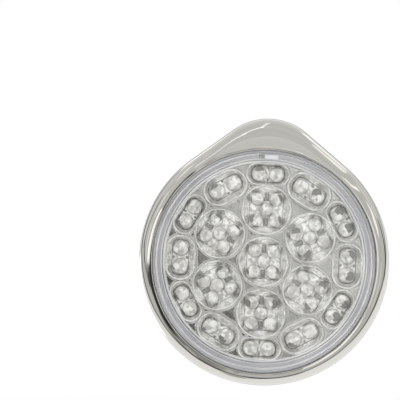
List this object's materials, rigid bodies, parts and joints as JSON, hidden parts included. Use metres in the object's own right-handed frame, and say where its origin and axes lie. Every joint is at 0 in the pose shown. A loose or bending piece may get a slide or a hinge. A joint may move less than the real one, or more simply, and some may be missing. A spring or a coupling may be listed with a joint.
{
  "type": "led facial device",
  "caption": "Hand-held, egg-shaped lamp for the face: polished front ring, clear lens over lamp cups, dark back shell with a swing-out finger ring, and side buttons.",
  "frame": {"origin": "centre of the back plate's outer face, which is the middle of the finger ring's opening and of the round body", "axes": "+Z toward the tip, +Y out of the back plate, away from the lamps, +X to the right when the lamps are seen"},
  "size_m": [0.1976, 0.058, 0.212],
  "materials": {
    "chrome_plating": "polished chrome plating on moulded plastic",
    "clear_lens": "clear, polished",
    "seal_rubber": "matte",
    "blue_grey_trim": "smooth satin",
    "mirror_coating": "vacuum-metallised, mirror bright",
    "clear_lamp": "clear epoxy",
    "satin_silver": "satin silver paint",
    "dark_satin": "dark grey metallic satin paint",
    "white_plate": "smooth satin white",
    "beige_satin": "satin",
    "black_plastic": "matte",
    "circuit_board": "solder mask",
    "steel": "plain"
  },
  "bodies": {
    "housing": {"back_plate": "white_plate", "board_screw_1": "steel", "board_screw_2": "steel", "board_screw_3": "steel", "board_screw_4": "steel", "buzzer": "black_plastic", "clamp_ring": "black_plastic", "clamp_screw_1": "steel", "clamp_screw_2": "steel", "clamp_screw_3": "steel", "clamp_screw_4": "steel", "control_board": "circuit_board", "control_connector": "white_plate", "controller_chip": "black_plastic", "dc_socket": "black_plastic", "front_bezel": "chrome_plating", "hinge_knuckle": "beige_satin", "hinge_pin": "steel", "lamp_connector": "white_plate", "lamp_group_1": "clear_lamp", "lamp_group_2": "clear_lamp", "lamp_group_3": "clear_lamp", "lamp_group_4": "clear_lamp", "lamp_group_5": "clear_lamp", "lamp_group_6": "clear_lamp", "lamp_group_7": "clear_lamp", "lamp_pair_1": "clear_lamp", "lamp_pair_10": "clear_lamp", "lamp_pair_11": "clear_lamp", "lamp_pair_12": "clear_lamp", "lamp_pair_2": "clear_lamp", "lamp_pair_3": "clear_lamp", "lamp_pair_4": "clear_lamp", "lamp_pair_5": "clear_lamp", "lamp_pair_6": "clear_lamp", "lamp_pair_7": "clear_lamp", "lamp_pair_8": "clear_lamp", "lamp_pair_9": "clear_lamp", "led_board": "circuit_board", "lens_cover": "clear_lens", "lens_gasket": "seal_rubber", "mode_indicator": "black_plastic", "mode_switch": "black_plastic", "mode_switch_board": "circuit_board", "plate_screw_1": "steel", "plate_screw_2": "steel", "plate_screw_3": "steel", "plate_screw_4": "steel", "power_indicator": "black_plastic", "power_switch": "black_plastic", "power_switch_board": "circuit_board", "rear_shell": "dark_satin", "reflector": "mirror_coating", "ribbon_cable": "white_plate", "side_band": "satin_silver", "trim_ring": "blue_grey_trim"},
    "ring": {"ring_handle": "chrome_plating"},
    "power_key": {"power_button": "satin_silver"},
    "mode_key": {"mode_button": "satin_silver"}
  },
  "joints": [
    {"name": "ring_hinge", "type": "hinge", "parent": "housing", "child": "ring", "pos_m": [0, -0.002, 0.0265], "axis": [1, 0, 0], "range_deg": [0, 95]},
    {"name": "power_button_press", "type": "slide", "parent": "housing", "child": "power_key", "axis": [0.7314, 0, -0.682], "range_m": [0, 0.0008], "stiffness_N_per_m": 1200},
    {"name": "mode_button_press", "type": "slide", "parent": "housing", "child": "mode_key", "axis": [0.9744, 0, -0.225], "range_m": [0, 0.0008], "stiffness_N_per_m": 1200}
  ]
}
